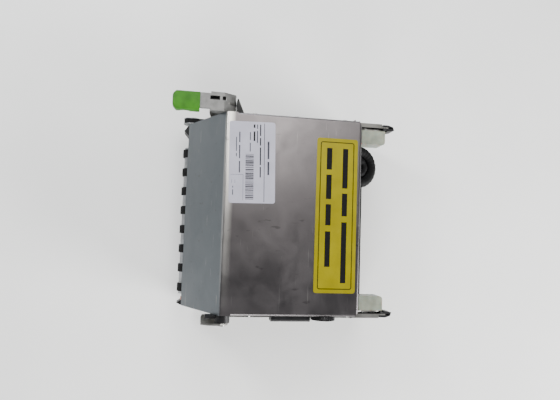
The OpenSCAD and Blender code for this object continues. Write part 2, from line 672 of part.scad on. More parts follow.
module jog_belt() color([0.06, 0.06, 0.06])
    belt(jog_x0 + 0.9, 2.8, [jog_y, jog_z], jog_pulley_r, [idler_y[3], idler_z[3]], jog_pulley_r, 1);

module latch_bushes() color([0.55, 0.25, 0.18]) difference() {
    union() {
        rods(up_in, up_out + 0.1, latch_y, latch_z, latch_r + 2);
        rods(up_out, hw + 0.2, latch_y, latch_z, latch_r + 3.4);
    }
    rods(up_in - 1, hw + 1, latch_y, latch_z, latch_r + fit);
}

// Torsion spring: one leg lies on the front tie bar, the other ends at the shaft.
module latch_spring() color(steel) {
    coil_r = latch_r + 1.6;
    wire = 0.6;
    for (i = [0:7]) translate([up_in - 11 + i * 1.1, latch_y, latch_z]) rotate([0, 90, 0])
        rotate_extrude() translate([coil_r, 0]) circle(wire, $fn = 24);
    limb([up_in - 11, latch_y - 1, latch_z - coil_r],
        [up_in - 11, top_bars[0].x - 3, top_bars[0].y + bar / 2 + wire], wire);
    limb([up_in - 3.3, latch_y - coil_r, latch_z], [up_in - 3.3, latch_y - latch_r - 0.3, latch_z], wire);
}

// Wiring loom from a plug on the control board, round in a half ring behind the cover, then down to
// the rear tie bar
harness_r = 6.5;
loom_ring = 19;
loom_drop = 9;
loom_tilt = 20;
loom_y = fold_y + 5.75;
loom_z = zt - 29;
loom_plug_z = ctrl_z + board_t + 0.2;
module harness() color(black) {
    drop_z = loom_z - loom_drop * cos(loom_tilt);
    box(-89, -75, ctrl_y[1] - 0.8, ctrl_y[1] + 6, loom_plug_z, loom_plug_z + 10);
    translate([-63, loom_y, loom_z]) rotate([-loom_tilt, 0, 0]) {
        rotate_extrude(angle = 180) translate([loom_ring, 0]) circle(harness_r);
        translate([-loom_ring, 0, 0]) rotate([90, 0, 0])
            cylinder(r = harness_r, h = (loom_y - ctrl_y[1] - 5) / cos(loom_tilt));
        translate([loom_ring, 0, -loom_drop]) rotate([0, -90, 180]) {
            rotate_extrude(angle = 90 + loom_tilt) translate([loom_drop, 0]) circle(harness_r);
            rotate([0, 0, 90 + loom_tilt]) translate([loom_drop, 0, 0]) rotate([-90, 0, 0])
                cylinder(r = harness_r, h = drop_z - top_bars[3].y - bar / 2 - 0.05);
        }
    }
}

module idler_roller(i) color([0.22, 0.22, 0.23]) {
    rods(0, up_out + 0.8, idler_y[i], idler_z[i], journal_r);
    for (x = tyre_xs) tyre(x, idler_y[i], idler_z[i], idler_r, 0, tyre_len - 1.4);
    if (i == 3)
        pulley(jog_x0, jog_x0 + 4.6, idler_y[i], idler_z[i], jog_pulley_r, jog_pulley_r + 1, journal_r + 0.02);
}

module jog_wheel() color(black) {
    teeth = 40;
    yz_plate(jog_x, 5.1) translate([jog_y, jog_z])
        polygon([for (i = [0:2 * teeth - 1])
            (i % 2 == 0 ? jog_r : jog_r - 0.8) * [cos(i * 180 / teeth), sin(i * 180 / teeth)]]);
    rod(jog_x0 - 1, jog_x + 1, jog_y, jog_z, journal_r);
    rod(jog_x + 5, jog_x + 5.6, jog_y, jog_z, jog_r * 0.5);
    pulley(jog_x0, jog_x0 + 4.6, jog_y, jog_z, jog_pulley_r, jog_pulley_r + 1, journal_r + 0.02);
}

// ---- Latch ----

arm_x1 = -hw - 0.4;
arm_x0 = arm_x1 - arm_w;
arm_y0 = latch_y - 35;
arm_z = zt - 2;
module latch_shaft() color(steel) rod(arm_x0, hook_x + hook_t + 1.6, latch_y, latch_z, latch_r);

module arm_profile() {
    polygon([[arm_y0, arm_z - 8], [arm_y0, arm_z], [latch_y - 8, arm_z], [latch_y + 1, latch_z + 6],
        [latch_y, latch_z - 6.3], [latch_y - 6, latch_z - 6.3], [arm_y0 + 12, arm_z - 10]]);
    translate([latch_y, latch_z]) circle(6.3);
}
module lever_arm() color([0.68, 0.68, 0.66]) difference() {
    union() {
        difference() {
            yz_plate(arm_x0, arm_w) arm_profile();
            box(arm_x0 + 2, arm_x1 - 2, arm_y0 - 1, latch_y + 9, 0, arm_z - 2);
            for (x = [[arm_x0 - 1, arm_x0 + 2], [arm_x1 - 2, arm_x1 + 1]])
                box(x[0], x[1], arm_y0 - 1, arm_y0 + 12, zt - 40, zt + 1);
        }
        box(arm_x0 + 2, arm_x1 - 2, arm_y0, arm_y0 + 14, arm_z - 4, arm_z);
        box(arm_x0 + 6, arm_x1 - 5, arm_y0 - 19, arm_y0 + 2, arm_z - 5, arm_z - 2);
    }
    for (x = [arm_x0 - 1, arm_x1 - 5]) rod(x, x + 6, latch_y, latch_z, latch_r + 0.02);
    box(arm_x0 + 4.4, arm_x0 + 9, latch_y - 23.8, latch_y - 13, arm_z - 5, zt);
    box(arm_x0 + 4.4, arm_x0 + 9, latch_y - 10, latch_y - 6, arm_z - 9, zt);
}

module lever_grip() color([0.35, 0.62, 0.20]) difference() {
    translate([0, 0, zt - 0.5 - grip_h]) linear_extrude(grip_h)
        polygon([[1 - hw, arm_y0], [1 - hw, arm_y0 - grip_len + 4], [-3 - hw, arm_y0 - grip_len],
            [5 - hw - grip_w, arm_y0 - grip_len], [1 - hw - grip_w, arm_y0 - grip_len + 4],
            [1 - hw - grip_w, arm_y0]]);
    box(arm_x0 + 5.95, arm_x1 - 4.95, arm_y0 - 19.2, arm_y0 + 1, arm_z - 5.05, arm_z - 1.95);
    translate([-100 - hw, arm_y0 - grip_len * 0.55, zt - 4 - grip_h]) rotate([0, 90, 0])
        cylinder(r = 7, h = 120);
}

module hook_outline() difference() {
    polygon([[latch_y + 6.5, latch_z - 3], [latch_y + 6.5, latch_z + 2], [latch_y + 4, latch_z + 5.6],
        [latch_y - 2, latch_z + 8.5], [latch_y - 14, latch_z + 8.5], [latch_y - 23.5, latch_z + 2],
        [strike_y - 15, strike_z + 12],
        [strike_y - 13, tip_z - 4], [strike_y - 7, tip_z - 8], [strike_y + 5, tip_z - 2],
        [strike_y + 5, tip_z], [strike_y - 4, tip_z], [strike_y - 4, strike_z + 8],
        [strike_y, strike_z + 16], [latch_y - 4, latch_z - 8]]);
    translate([latch_y, latch_z]) circle(latch_r + 0.02);
}
module latch_hooks() color([0.62, 0.62, 0.60]) {
    yz_plate(hook_x, hook_t) hook_outline();
    yz_plate(-hook_x - hook_t, hook_t) hook_outline();
}

module latch_hub() color(black) difference() {
    union() {
        rod(hw + 0.4, hook_x - 0.2, latch_y, latch_z, latch_r + 4.5);
        box(hw + 0.4, hw + 4, latch_y - 19, latch_y, latch_z - 5, latch_z + 5);
    }
    rod(hw - 1, hook_x + 1, latch_y, latch_z, latch_r + 0.02);
}

// ---- Drawing ----

base_pan();
lower_side_plate_left();
lower_side_plate_right();
entry_guide_left();
entry_guide_right();
lower_cross_bars();
lower_guide_plate();
lower_sensor_module();
lower_sensor_glass();
drive_motor();
drive_board();
shaft_bushes();
strike_pins();
hinge_pins();
rear_guide_horns();
drive_belts();
belt_shoe();
chassis_screws();
drive_shaft(0);  // drive_shaft_1
drive_shaft(1);  // drive_shaft_2
drive_shaft(2);  // drive_shaft_3
drive_shaft(3);  // drive_shaft_4
drive_shaft(4);  // drive_shaft_5
drive_tyres(0);  // drive_tyres_1
drive_tyres(1);  // drive_tyres_2
drive_tyres(2);  // drive_tyres_3
drive_tyres(3);  // drive_tyres_4
drive_tyres(4);  // drive_tyres_5
motor_pulley();
top_cover();
upper_side_plate_left();
upper_side_plate_right();
upper_tie_bars();
upper_guide_plate();
upper_sensor_module();
upper_sensor_glass();
magnetic_head();
control_board();
hinge_blocks();
type_label();
warning_label();
upper_screws();
lever_stop_bracket();
side_strip_cover();
jog_belt();
latch_bushes();
latch_spring();
harness();
idler_roller(0);  // idler_roller_1
idler_roller(1);  // idler_roller_2
idler_roller(2);  // idler_roller_3
idler_roller(3);  // idler_roller_4
idler_roller(4);  // idler_roller_5
jog_wheel();
latch_shaft();
lever_arm();
lever_grip();
latch_hooks();
latch_hub();
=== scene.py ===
"""Banknote handling module of a cash machine, finished on its fixed CAD frame.

Lengths are in metres. X is right, Y is back and Z is up.
"""

import math
import random

import bmesh
import bpy
from bpy.props import (
    FloatProperty,
    FloatVectorProperty,
    IntProperty,
    PointerProperty,
    StringProperty,
)
from mathutils import Matrix, Vector


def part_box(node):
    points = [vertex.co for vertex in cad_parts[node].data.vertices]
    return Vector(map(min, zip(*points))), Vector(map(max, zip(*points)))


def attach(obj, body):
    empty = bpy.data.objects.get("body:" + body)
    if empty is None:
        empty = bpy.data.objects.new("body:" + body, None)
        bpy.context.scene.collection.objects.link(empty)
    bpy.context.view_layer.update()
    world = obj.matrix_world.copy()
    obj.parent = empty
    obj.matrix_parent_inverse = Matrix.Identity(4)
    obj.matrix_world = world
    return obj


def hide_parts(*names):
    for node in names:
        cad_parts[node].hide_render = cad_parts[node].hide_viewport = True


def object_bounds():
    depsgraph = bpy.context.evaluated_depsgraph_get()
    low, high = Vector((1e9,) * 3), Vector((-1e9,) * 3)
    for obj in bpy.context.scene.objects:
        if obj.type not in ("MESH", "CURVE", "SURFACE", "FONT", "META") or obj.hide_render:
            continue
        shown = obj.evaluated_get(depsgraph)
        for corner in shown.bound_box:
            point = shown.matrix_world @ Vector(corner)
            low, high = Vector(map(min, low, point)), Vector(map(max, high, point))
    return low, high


bl_info = {
    "name": "Banknote Handling Module",
    "version": (1, 0, 0),
    "blender": (4, 5, 0),
    "location": "View3D > Sidebar > Note Module",
    "description": "Builds the finished look of a hinged banknote transport module",
    "category": "Add Mesh",
}

MM = 0.001
FLAP_RUN = 43 * MM  # how far the front flap reaches forward of the bend
LABEL_TURN = math.radians(1.5)  # the type label is stuck on slightly askew
PRINT_DEPTH = 0.07 * MM  # height of a printed bar; most of it lies in the film, so no gap shows
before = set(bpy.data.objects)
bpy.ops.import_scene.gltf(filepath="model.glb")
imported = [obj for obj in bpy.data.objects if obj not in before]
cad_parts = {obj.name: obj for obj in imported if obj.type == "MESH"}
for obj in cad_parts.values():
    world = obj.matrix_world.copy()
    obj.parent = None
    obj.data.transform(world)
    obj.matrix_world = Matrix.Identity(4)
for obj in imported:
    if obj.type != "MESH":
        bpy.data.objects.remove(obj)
CAD_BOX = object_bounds()


# ---- Sizes and colours a user would change ----


class ModuleSizes(bpy.types.PropertyGroup):
    """Sizes of what is added to the frame"""

    edge_round: FloatProperty(
        name="Edge Rounding",
        description="Radius broken on moulded edges",
        default=0.5 * MM,
        unit="LENGTH",
    )
    rule_width: FloatProperty(
        name="Label Rule",
        description="Width of the printed rule round a label",
        default=1.0 * MM,
        unit="LENGTH",
    )
    ink_height: FloatProperty(
        name="Ink Height",
        description="Height of the print over the film",
        default=0.02 * MM,
        unit="LENGTH",
    )
    loom_ribs: IntProperty(
        name="Loom Ribs", description="Ribs along the wiring loom", default=64, min=8
    )
    spring_turns: FloatProperty(
        name="Spring Turns", description="Turns of the latch spring", default=7.0, min=2.0
    )


class ModuleColours(bpy.types.PropertyGroup):
    """Colours of the main finishes, as sRGB hex values"""

    cover: StringProperty(
        name="Cover Steel", description="Bare steel of the top cover", default="#716D6E"
    )
    plate: StringProperty(
        name="Plate Steel", description="Zinc plated side plates", default="#84837F"
    )
    grip: StringProperty(name="Grip", description="Moulded lever grip", default="#2F6C08")
    arm: StringProperty(
        name="Lever Arm", description="Powder coat on the lever arm", default="#6A6A68"
    )
    film: StringProperty(name="Type Label", description="Film of the type label", default="#A6A5B1")
    vinyl: StringProperty(
        name="Yellow Label", description="Vinyl of the yellow label", default="#867D00"
    )
    acetal: StringProperty(
        name="Acetal", description="Natural acetal of the hinge blocks", default="#8C9182"
    )


class ModuleView(bpy.types.PropertyGroup):
    """Camera and floor"""

    target: FloatVectorProperty(
        name="Target",
        description="Point the camera looks at",
        default=(-0.0161, -0.0173, 0.150),
        subtype="TRANSLATION",
    )
    distance: FloatProperty(
        name="Distance", description="Camera to target", default=0.562, unit="LENGTH"
    )
    azimuth: FloatProperty(
        name="Azimuth",
        description="Heading of the view, from +Y towards -X",
        default=math.radians(24.7),
        subtype="ANGLE",
    )
    elevation: FloatProperty(
        name="Elevation",
        description="Angle above the horizon",
        default=math.radians(79.5),
        subtype="ANGLE",
    )
    roll: FloatProperty(
        name="Roll",
        description="Turn of the camera about its line of sight",
        default=math.radians(67.6),
        subtype="ANGLE",
    )
    lens: FloatProperty(
        name="Lens", description="Focal length for a 36 mm wide sensor", default=32.14
    )


# ---- Small helpers ----


def linear(hex_colour):
    """An sRGB hex value as linear RGBA."""
    parts = [int(hex_colour[i : i + 2], 16) / 255 for i in (1, 3, 5)]
    return tuple(
        c / 12.92 if c <= 0.04045 else ((c + 0.055) / 1.055) ** 2.4 for c in parts
    ) + (1.0,)


def join(tree, source, target):
    """Links an output, or a node's first output, to a target input."""
    tree.links.new(getattr(source, "outputs", [source])[0], target)


def add_node(tree, kind, settings=None, links=None):
    """Adds a shader node.

    settings are its own properties or input values, and links are its inputs' sources.
    """
    made = tree.nodes.new("ShaderNode" + kind)
    for key, value in (settings or {}).items():
        if isinstance(key, str) and hasattr(made, key):
            setattr(made, key, value)
        else:
            made.inputs[key].default_value = value
    for key, source in (links or {}).items():
        join(tree, source, made.inputs[key])
    return made


def per_metre(size_mm):
    """Texture scale whose features are about size_mm across, on coordinates in metres."""
    return 1000.0 / size_mm


def start_material(name, shader_settings):
    """A named material with its shader, its tree and coordinates in metres."""
    material = bpy.data.materials.new(name)
    material.use_nodes = True
    tree = material.node_tree
    shader = tree.nodes["Principled BSDF"]
    for key, value in shader_settings.items():
        shader.inputs[key].default_value = value
    place = add_node(tree, "TexCoord").outputs["Object"]
    return material, tree, shader, place


def finish_surface(tree, shader, colour, rough=None, height=None, depth_mm=0.05):
    """Joins what varies over the surface to the shader.

    rough is a pattern, the roughness where it is low and where it is high, and, if they
    aren't the usual 0.3 and 0.7, the pattern values that count as low and high.
    """
    join(tree, colour, shader.inputs["Base Color"])
    if rough is not None:
        pattern, low, high, *span = rough
        start, end = span or (0.3, 0.7)
        spread = add_node(
            tree,
            "MapRange",
            {"From Min": start, "From Max": end, "To Min": low, "To Max": high},
            {"Value": pattern},
        )
        join(tree, spread, shader.inputs["Roughness"])
    if height is not None:
        bump = add_node(
            tree, "Bump", {"Strength": 0.6, "Distance": depth_mm * MM}, {"Height": height}
        )
        join(tree, bump, shader.inputs["Normal"])


def two_tone(tree, place, size_mm, dark, light, detail=4.0, low=0.35, high=0.65):
    """Cloudy mix of two colours. Returns the colour and the pattern behind it."""
    scale = per_metre(size_mm)
    cloud = add_node(tree, "TexNoise", {"Scale": scale, "Detail": detail}, {"Vector": place})
    ramp = add_node(tree, "ValToRGB", {}, {"Fac": cloud})
    ramp.color_ramp.elements[0].position = low
    ramp.color_ramp.elements[1].position = high
    ramp.color_ramp.elements[0].color = linear(dark)
    ramp.color_ramp.elements[1].color = linear(light)
    return ramp, cloud


def along(tree, place, axis, start, end):
    """0 before start and 1 after end, along one axis, in metres."""
    parts = add_node(tree, "SeparateXYZ", {}, {"Vector": place})
    return add_node(
        tree, "MapRange", {"From Min": start, "From Max": end}, {"Value": parts.outputs[axis]}
    )


def patches(tree, place, size_mm, low, stretch=(1, 1, 1), turn=(0, 0, 0)):
    """1 in scattered patches about size_mm across and 0 between them. turn is in degrees."""
    angles = [math.radians(angle) for angle in turn]
    moved = add_node(tree, "Mapping", {"Scale": stretch, "Rotation": angles}, {"Vector": place})
    scale = per_metre(size_mm)
    spots = add_node(tree, "TexNoise", {"Scale": scale, "Detail": 5.0}, {"Vector": moved})
    return add_node(tree, "MapRange", {"From Min": low, "From Max": 0.72}, {"Value": spots})


def stained(tree, base, hex_colour, patterns, strength=1.0):
    """The base colour, turned towards another where all the patterns are high."""
    amount = patterns[0]
    for pattern in patterns[1:]:
        amount = add_node(tree, "Math", {"operation": "MULTIPLY"}, {0: amount, 1: pattern})
    weaker = add_node(tree, "Math", {"operation": "MULTIPLY", 1: strength}, {0: amount})
    made = add_node(tree, "Mix", {"data_type": "RGBA", 7: linear(hex_colour)}, {0: weaker, 6: base})
    return made.outputs[2]


# ---- Materials, each named for what it is and how it was made ----


def rolled_stainless_sheet(colour):
    """Cold rolled stainless, 2B mill finish: faint rolling streaks and a cloudy sheen.

    The flap is painted darker and bluer as a painted reflection, the bend carries a painted
    highlight that is brightest at the lever end, and the top has fine scratches and dark scuffs.
    """
    settings = {"Metallic": 1.0, "Roughness": 0.36}
    material, tree, shader, place = start_material("rolled_stainless_sheet", settings)
    tone, _ = two_tone(tree, place, 55, "#605D5E", colour, detail=5.0, low=0.25, high=0.75)
    # Rolling streaks are 0.1 mm apart on the sheet; drawn at 0.6 mm so that they show.
    streaks = add_node(tree, "Mapping", {"Scale": (0.03, 1, 1)}, {"Vector": place})
    grain = add_node(
        tree,
        "TexNoise",
        {"Scale": per_metre(0.6), "Detail": 3.0},
        {"Vector": streaks},
    )
    smudge = add_node(
        tree,
        "TexNoise",
        {"Scale": per_metre(28), "Detail": 6.0, "Distortion": 0.8},
        {"Vector": place},
    )
    bend_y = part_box("top_cover")[0].y + FLAP_RUN
    # Painted reflection: the flap is painted darker and bluer, standing in for the dim, bluish
    # front it mirrors.
    flap = along(tree, place, "Y", bend_y + 1.5 * MM, bend_y - 1 * MM)
    tone = stained(tree, tone, "#4C5155", [flap])
    # Painted highlight: a pale colour along the bend, brightest at the lever end, stands in for the
    # light the rolled bend reflects.
    bend_highlight_start = along(tree, place, "Y", bend_y - 2 * MM, bend_y + 2.5 * MM)
    bend_highlight_end = along(tree, place, "Y", bend_y + 10 * MM, bend_y + 4 * MM)
    bend_highlight_fade = along(tree, place, "X", 110 * MM, -70 * MM)
    tone = stained(tree, tone, "#D6D4CE", [bend_highlight_start, bend_highlight_end, bend_highlight_fade])
    scuffs = patches(tree, place, 7, 0.66, (1, 0.35, 1), (0, 0, 25))
    tone = stained(tree, tone, "#3E3B3C", [scuffs], 0.45)
    scratches = patches(tree, place, 1.6, 0.68, (0.04, 1, 1), (0, 0, -38))
    tone = stained(tree, tone, "#A5A3A0", [scratches], 0.35)
    mixed = add_node(tree, "Math", {"operation": "MULTIPLY_ADD", 1: 0.35}, {0: grain, 2: smudge})
    finish_surface(tree, shader, tone, (mixed, 0.27, 0.44, 0.4, 1.0), grain, 0.012)
    return material


def zinc_plated_sheet(colour):
    """Electro-zinc plated steel: soft grey, faintly mottled, with dull marks and fine scratches."""
    settings = {"Metallic": 1.0, "Roughness": 0.45}
    material, tree, shader, place = start_material("zinc_plated_sheet", settings)
    tone, cloud = two_tone(tree, place, 16, "#6F6E6B", colour, low=0.25, high=0.75)
    marks = patches(tree, place, 11, 0.62)
    tone = stained(tree, tone, "#575654", [marks], 0.4)
    scratches = patches(tree, place, 1.4, 0.68, (1, 0.05, 1), (30, 0, 0))
    tone = stained(tree, tone, "#A9A8A5", [scratches], 0.5)
    finish_surface(tree, shader, tone, (cloud, 0.4, 0.52), cloud, 0.01)
    return material


def turned_steel():
    """Bright turned steel: fine rings round each bar."""
    settings = {"Metallic": 1.0, "Roughness": 0.28}
    material, tree, shader, place = start_material("turned_steel", settings)
    stretch = add_node(tree, "Mapping", {"Scale": (1, 0.1, 0.1)}, {"Vector": place})
    rings = add_node(
        tree, "TexNoise", {"Scale": per_metre(0.5), "Detail": 2.0}, {"Vector": stretch}
    )
    tone, _ = two_tone(tree, place, 14, "#83837F", "#A2A2A0")
    finish_surface(tree, shader, tone, (rings, 0.22, 0.36), rings, 0.01)
    return material


def satin_anodised_aluminium():
    """Bead blasted and anodised aluminium: pale, even and soft."""
    settings = {"Metallic": 1.0, "Roughness": 0.42}
    material, tree, shader, place = start_material("satin_anodised_aluminium", settings)
    tone, _ = two_tone(tree, place, 12, "#7B7D7F", "#939597")
    blast = add_node(tree, "TexNoise", {"Scale": per_metre(0.5), "Detail": 2.0}, {"Vector": place})
    finish_surface(tree, shader, tone, (blast, 0.38, 0.5), blast, 0.01)
    return material


def ground_rubber():
    """EPDM rubber ground to size: matt black with a dusty bloom."""
    settings = {"Roughness": 0.78, "Specular IOR Level": 0.2}
    material, tree, shader, place = start_material("ground_rubber", settings)
    tone, _ = two_tone(tree, place, 6, "#060607", "#101011")
    grit = add_node(tree, "TexNoise", {"Scale": per_metre(0.35), "Detail": 3.0}, {"Vector": place})
    finish_surface(tree, shader, tone, (grit, 0.7, 0.86), grit, 0.05)
    return material


def moulded_black_nylon():
    """Glass filled nylon from a spark eroded mould: fine grain, slightly worn grey."""
    settings = {"Roughness": 0.5, "Specular IOR Level": 0.3}
    material, tree, shader, place = start_material("moulded_black_nylon", settings)
    tone, _ = two_tone(tree, place, 10, "#09090A", "#121214")
    grain = add_node(tree, "TexVoronoi", {"Scale": per_metre(0.5)}, {"Vector": place})
    cloud = add_node(tree, "TexNoise", {"Scale": per_metre(5), "Detail": 3.0}, {"Vector": place})
    finish_surface(tree, shader, tone, (cloud, 0.42, 0.6), grain, 0.03)
    return material


def moulded_dark_housing():
    """ABS housing, dark grey with a fine texture."""
    settings = {"Roughness": 0.55, "Specular IOR Level": 0.35}
    material, tree, shader, place = start_material("moulded_dark_housing", settings)
    tone, _ = two_tone(tree, place, 12, "#18181A", "#222225")
    grain = add_node(tree, "TexVoronoi", {"Scale": per_metre(0.7)}, {"Vector": place})
    finish_surface(tree, shader, tone, None, grain, 0.03)
    return material


def idler_urethane():
    """Cast polyurethane idlers: dark, a little glossier than rubber."""
    material, tree, shader, place = start_material("idler_urethane", {"Roughness": 0.48})
    tone, cloud = two_tone(tree, place, 4, "#121214", "#1C1C1F")
    finish_surface(tree, shader, tone, (cloud, 0.4, 0.58), cloud, 0.02)
    return material


def natural_acetal(colour):
    """Machined natural acetal: milky white, waxy, light enters a little way."""
    settings = {"Roughness": 0.38, "Subsurface Weight": 0.25, "Subsurface Scale": 0.003}
    material, tree, shader, place = start_material("natural_acetal", settings)
    tone, _ = two_tone(tree, place, 8, "#7A7F72", colour)
    cuts = add_node(tree, "Mapping", {"Scale": (1, 0.08, 1)}, {"Vector": place})
    marks = add_node(tree, "TexNoise", {"Scale": per_metre(0.8), "Detail": 2.0}, {"Vector": cuts})
    finish_surface(tree, shader, tone, (marks, 0.32, 0.48), marks, 0.015)
    return material


def sintered_bronze():
    """Oil filled sintered bronze: brown-red, pored and dull."""
    settings = {"Metallic": 1.0, "Roughness": 0.5}
    material, tree, shader, place = start_material("sintered_bronze", settings)
    tone, _ = two_tone(tree, place, 2.5, "#6E3A24", "#A3603C")
    pores = add_node(tree, "TexVoronoi", {"Scale": per_metre(0.4)}, {"Vector": place})
    finish_surface(tree, shader, tone, None, pores, 0.04)
    return material


def black_enamel():
    """Stoved black enamel on a drawn can: satin with slight orange peel."""
    settings = {"Roughness": 0.34, "Coat Weight": 0.2}
    material, tree, shader, place = start_material("black_enamel", settings)
    tone, _ = two_tone(tree, place, 15, "#0C0C0E", "#131315")
    peel = add_node(tree, "TexNoise", {"Scale": per_metre(1.2), "Detail": 1.0}, {"Vector": place})
    finish_surface(tree, shader, tone, None, peel, 0.03)
    return material


def green_solder_mask():
    """Glass epoxy board under green lacquer: glossy, with copper tracks showing paler beneath."""
    settings = {"Roughness": 0.25, "Coat Weight": 0.4}
    material, tree, shader, place = start_material("green_solder_mask", settings)
    tracks = add_node(
        tree,
        "TexBrick",
        {"Scale": per_metre(9), "Mortar Size": 0.06, "Bias": -0.2},
        {"Vector": place},
    )
    tracks.inputs["Color1"].default_value = linear("#12432A")
    tracks.inputs["Color2"].default_value = linear("#165034")
    tracks.inputs["Mortar"].default_value = linear("#2C7048")
    finish_surface(tree, shader, tracks, None, tracks.outputs["Fac"], 0.02)
    return material


def tinted_window():
    """Smoked acrylic window over the sensor bar: dark and glossy."""
    settings = {"Roughness": 0.06, "IOR": 1.49, "Transmission Weight": 0.15, "Coat Weight": 0.3}
    material, tree, shader, place = start_material("tinted_window", settings)
    tone, cloud = two_tone(tree, place, 20, "#0E1418", "#182026")
    finish_surface(tree, shader, tone, (cloud, 0.05, 0.12))
    return material


def nickel_shield():
    """Nickel plated mu-metal shield of the reading head."""
    settings = {"Metallic": 1.0, "Roughness": 0.3}
    material, tree, shader, place = start_material("nickel_shield", settings)
    tone, cloud = two_tone(tree, place, 6, "#8C8A84", "#A7A49C")
    finish_surface(tree, shader, tone, (cloud, 0.26, 0.4), cloud, 0.01)
    return material


def light_grey_powder_coat(colour):
    """Polyester powder coat: low sheen with fine orange peel, rubbed brighter in places."""
    settings = {"Roughness": 0.4, "Coat Weight": 0.15}
    material, tree, shader, place = start_material("light_grey_powder_coat", settings)
    tone, _ = two_tone(tree, place, 7, "#595957", colour)
    peel = add_node(tree, "TexNoise", {"Scale": per_metre(0.7), "Detail": 1.0}, {"Vector": place})
    finish_surface(tree, shader, tone, (peel, 0.34, 0.5), peel, 0.03)
    return material


def moulded_green_abs(colour):
    """Green ABS from a fine textured mould, polished a little by fingers."""
    settings = {
        "Roughness": 0.5,
        "Specular IOR Level": 0.22,
        "Subsurface Weight": 0.05,
        "Subsurface Scale": 0.002,
    }
    material, tree, shader, place = start_material("moulded_green_abs", settings)
    tone, _ = two_tone(tree, place, 9, "#265A04", colour)
    grain = add_node(tree, "TexVoronoi", {"Scale": per_metre(0.5)}, {"Vector": place})
    rub = add_node(tree, "TexNoise", {"Scale": per_metre(8), "Detail": 3.0}, {"Vector": place})
    finish_surface(tree, shader, tone, (rub, 0.42, 0.6), grain, 0.02)
    return material


def label_film(name, dark, light):
    """Printed label film with a satin overlaminate: even, with slight ripples from the glue."""
    material, tree, shader, place = start_material(
        name, {"Roughness": 0.4, "Specular IOR Level": 0.18}
    )
    tone, _ = two_tone(tree, place, 25, dark, light)
    ripple = add_node(tree, "TexNoise", {"Scale": per_metre(10), "Detail": 2.0}, {"Vector": place})
    finish_surface(tree, shader, tone, (ripple, 0.28, 0.4), ripple, 0.02)
    return material


def printing_ink(name, dark, light):
    """Screen printed ink, slightly uneven."""
    material, tree, shader, place = start_material(
        name, {"Roughness": 0.6, "Specular IOR Level": 0.15}
    )
    tone, _ = two_tone(tree, place, 3, dark, light)
    finish_surface(tree, shader, tone)
    return material


def braided_sleeve():
    """Woven polyester sleeve over the loom: fine crossing threads, matt black."""
    settings = {"Roughness": 0.68, "Specular IOR Level": 0.15}
    material, tree, shader, place = start_material("braided_sleeve", settings)
    # Threads are 0.3 mm; drawn at 0.9 mm so that the weave shows.
    first = add_node(
        tree, "TexWave", {"Scale": per_metre(6), "bands_direction": "DIAGONAL"}, {"Vector": place}
    )
    turned = add_node(tree, "Mapping", {"Rotation": (0, 0, math.radians(90))}, {"Vector": place})
    second = add_node(
        tree, "TexWave", {"Scale": per_metre(6), "bands_direction": "DIAGONAL"}, {"Vector": turned}
    )
    weave = add_node(
        tree, "Math", {"operation": "MAXIMUM"}, {0: first.outputs["Fac"], 1: second.outputs["Fac"]}
    )
    tone, _ = two_tone(tree, place, 3, "#030303", "#09090A")
    finish_surface(tree, shader, tone, None, weave, 0.15)
    return material


def painted_floor():
    """Pale matt floor."""
    material, tree, shader, place = start_material("painted_floor", {"Roughness": 0.8})
    tone, _ = two_tone(tree, place, 220, "#F2F2F0", "#F7F7F5")
    finish_surface(tree, shader, tone)
    return material


MATERIALS = {}


def make_materials(colours):
    """Makes every material once."""
    MATERIALS.update(
        cover=rolled_stainless_sheet(colours.cover),
        plate=zinc_plated_sheet(colours.plate),
        steel=turned_steel(),
        aluminium=satin_anodised_aluminium(),
        rubber=ground_rubber(),
        nylon=moulded_black_nylon(),
        housing=moulded_dark_housing(),
        urethane=idler_urethane(),
        acetal=natural_acetal(colours.acetal),
        bronze=sintered_bronze(),
        enamel=black_enamel(),
        board=green_solder_mask(),
        window=tinted_window(),
        nickel=nickel_shield(),
        arm=light_grey_powder_coat(colours.arm),
        grip=moulded_green_abs(colours.grip),
        film=label_film("type_label_film", "#9D9CA8", colours.film),
        vinyl=label_film("yellow_vinyl", "#7B7200", colours.vinyl),
        ink=printing_ink("black_ink", "#030303", "#0A0A0B"),
        pale_ink=printing_ink("grey_ink", "#2C2C33", "#3E3E46"),
        olive_ink=printing_ink("olive_ink", "#161402", "#232004"),
        sleeve=braided_sleeve(),
        floor=painted_floor(),
    )


# ---- Mesh helpers ----


def new_piece(name, bm, materials, smooth_angle=None):
    """Turns a bmesh into an object in the scene."""
    mesh = bpy.data.meshes.new(name)
    bm.normal_update()
    bm.to_mesh(mesh)
    bm.free()
    piece = bpy.data.objects.new(name, mesh)
    bpy.context.scene.collection.objects.link(piece)
    for material in materials:
        mesh.materials.append(material)
    if smooth_angle is not None:
        mesh.shade_smooth()
        mesh.set_sharp_from_angle(angle=math.radians(smooth_angle))
    return piece


def add_bevel(piece, width):
    """Rounds a piece's sharp edges."""
    bevel = piece.modifiers.new("rounded_edges", "BEVEL")
    bevel.width = width
    bevel.segments = 3
    bevel.limit_method = "ANGLE"
    bevel.angle_limit = math.radians(40)


def set_material(verts, material_index):
    """Gives the faces at some points one of their piece's materials."""
    for vert in verts:
        for face in vert.link_faces:
            face.material_index = material_index


def slab(bm, low, high, material_index=0):
    """Box between two corners."""
    size = Vector(high) - Vector(low)
    middle = (Vector(high) + Vector(low)) / 2
    place = Matrix.Translation(middle) @ Matrix.Diagonal((*size, 1))
    made = bmesh.ops.create_cube(bm, size=1, matrix=place)
    set_material(made["verts"], material_index)


def post(bm, foot, radius, height, material_index, sides):
    """Upright round post standing on foot."""
    place = Matrix.Translation(Vector(foot) + Vector((0, 0, height / 2)))
    size = {"radius1": radius, "radius2": radius, "depth": height}
    made = bmesh.ops.create_cone(bm, cap_ends=True, segments=sides, matrix=place, **size)
    set_material(made["verts"], material_index)


